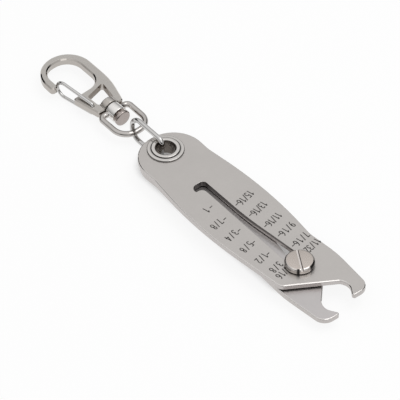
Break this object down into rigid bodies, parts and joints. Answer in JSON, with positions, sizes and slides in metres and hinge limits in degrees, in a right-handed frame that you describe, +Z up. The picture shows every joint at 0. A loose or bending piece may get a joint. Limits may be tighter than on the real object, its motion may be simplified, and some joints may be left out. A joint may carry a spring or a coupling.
{
  "type": "thread size checker",
  "caption": "Flat sliding gauge with two hooked jaws that sizes bolts and nuts against an inch scale, with a swivelling key clip.",
  "frame": {"origin": "on the eyelet's axis, on the surface that the gauge lies on", "axes": "+X from the eyelet to the jaws, +Y to the front jaw's side, +Z up out of the face with the scale"},
  "size_m": [0.1591, 0.0289, 0.0105],
  "materials": {
    "plate_steel": "satin",
    "eyelet_nickel": "polished",
    "shim_steel": "satin",
    "knob_nickel": "satin",
    "clip_nickel": "polished",
    "wire_steel": "polished",
    "scale_ink": "matt"
  },
  "bodies": {
    "front": {"front_plate": "plate_steel", "eyelet_barrel": "eyelet_nickel", "eyelet_ring": "eyelet_nickel", "pivot_shim": "shim_steel"},
    "back": {"back_plate": "plate_steel"},
    "knob": {"knob_screw": "knob_nickel", "knob_washer": "knob_nickel", "friction_washer": "shim_steel", "knob_nut": "knob_nickel"},
    "link": {"link": "wire_steel"},
    "eye": {"swivel_eye": "clip_nickel"},
    "hook": {"hook_body": "clip_nickel", "swivel_pin": "clip_nickel"},
    "gate": {"gate_loop": "wire_steel"}
  },
  "joints": [
    {"name": "jaw_swing", "type": "hinge", "parent": "front", "child": "back", "pos_m": [0, 0, 0.003], "axis": [0, 0, -1], "range_deg": [0, 10.58]},
    {"name": "knob_slide", "type": "slide", "parent": "front", "child": "knob", "axis": [-0.9998, -0.0194, 0], "range_m": [0, 0.04116]},
    {"name": "link_swing", "type": "hinge", "parent": "front", "child": "link", "pos_m": [0, 0, 0.00525], "axis": [0, 0, 1], "range_deg": [-60, 60]},
    {"name": "eye_tilt", "type": "hinge", "parent": "link", "child": "eye", "pos_m": [-0.0159, 0.0005, 0.004], "axis": [0, 1, 0], "range_deg": [-45, 45]},
    {"name": "hook_spin", "type": "hinge", "parent": "eye", "child": "hook", "pos_m": [-0.0301, 0.0005, 0.004], "axis": [1, 0, 0], "continuous": true},
    {"name": "gate_hinge", "type": "hinge", "parent": "hook", "child": "gate", "pos_m": [-0.034, -0.0047, 0.004], "axis": [0, 0, -1], "range_deg": [0, 28], "stiffness_Nm_per_rad": 0.012, "springref_deg": -20.05}
  ],
  "couplings": [
    {"joint": "knob_slide", "follows": "jaw_swing", "m_per_rad": 0.22294}
  ]
}
